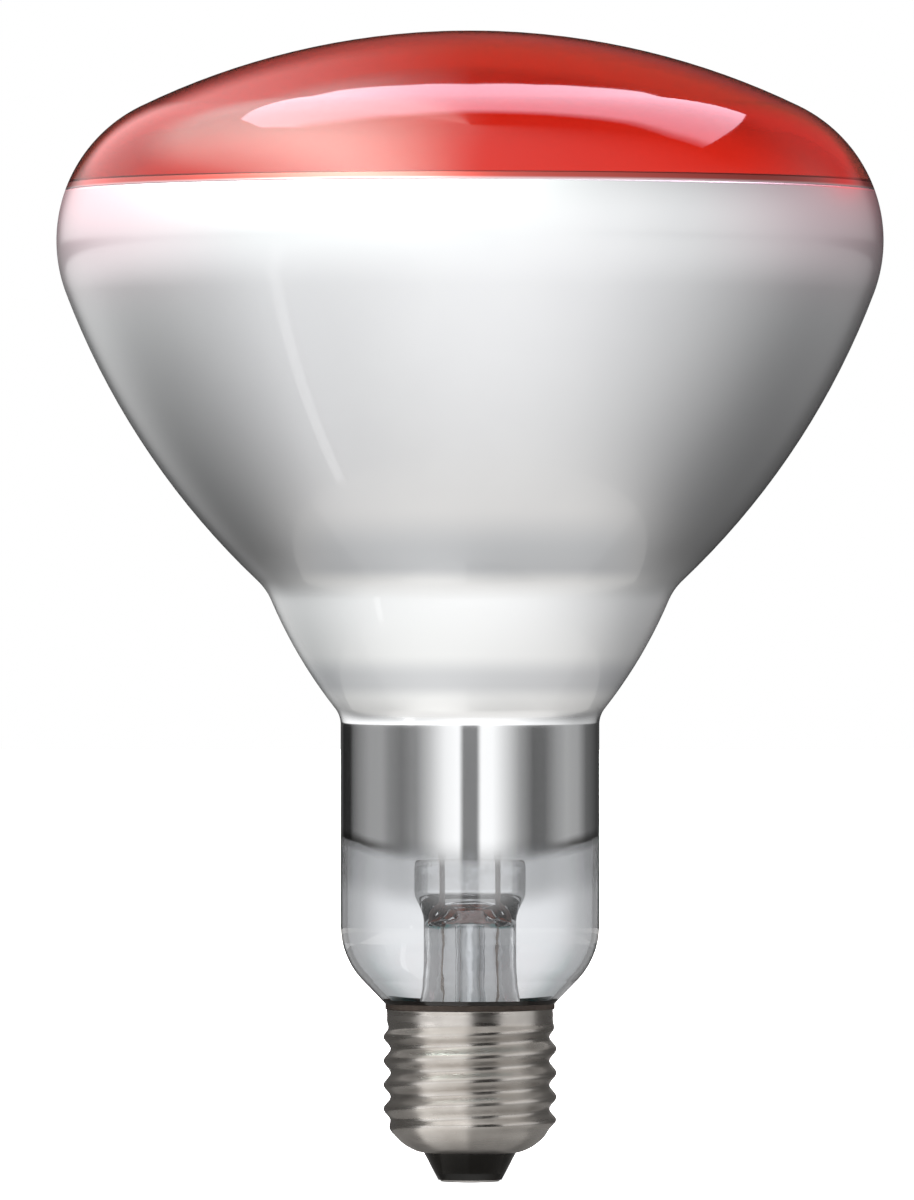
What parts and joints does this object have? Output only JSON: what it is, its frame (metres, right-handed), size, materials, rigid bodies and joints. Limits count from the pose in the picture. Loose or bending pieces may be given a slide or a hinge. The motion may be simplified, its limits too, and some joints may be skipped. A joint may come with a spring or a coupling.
{
  "type": "infrared heat lamp bulb",
  "caption": "Infrared reflector heat lamp with a red dome front, a satin mirrored flared bulb, a clear neck that shows the glass stem, and a rolled screw cap.",
  "frame": {"origin": "tip of the centre contact's solder, on the bulb's axis", "axes": "+Z along the bulb's axis from the centre contact to the red dome, -Y towards the filament's open side"},
  "size_m": [0.125, 0.125, 0.174],
  "materials": {
    "clear_glass": "clear polished",
    "mirror_film": "satin aluminised",
    "red_film": "translucent gloss red",
    "lead_glass": "clear, fire polished",
    "nickel_wire": "drawn wire",
    "copper_wire": "drawn wire",
    "seal_wire": "oxidised wire",
    "tungsten": "matte coiled wire",
    "nickel_sheet": "nickel plated, rolled",
    "basing_cement": "matte",
    "black_glass": "gloss",
    "solder": "satin"
  },
  "bodies": {
    "root": {"glass_envelope": "clear_glass", "reflector_coating": "mirror_film", "red_coating": "red_film", "stem_glass": "lead_glass", "exhaust_tube": "lead_glass", "support_rod": "lead_glass", "inner_lead_left": "nickel_wire", "inner_lead_right": "nickel_wire", "seal_wire_left": "seal_wire", "seal_wire_right": "seal_wire", "outer_lead_centre": "copper_wire", "outer_lead_side": "copper_wire", "filament": "tungsten", "filament_support_1": "tungsten", "filament_support_2": "tungsten", "filament_support_3": "tungsten", "filament_support_4": "tungsten", "cap_shell": "nickel_sheet", "basing_cement": "basing_cement", "cap_insulator": "black_glass", "centre_contact": "nickel_sheet", "centre_solder": "solder", "side_solder": "solder"}
  },
  "joints": []
}
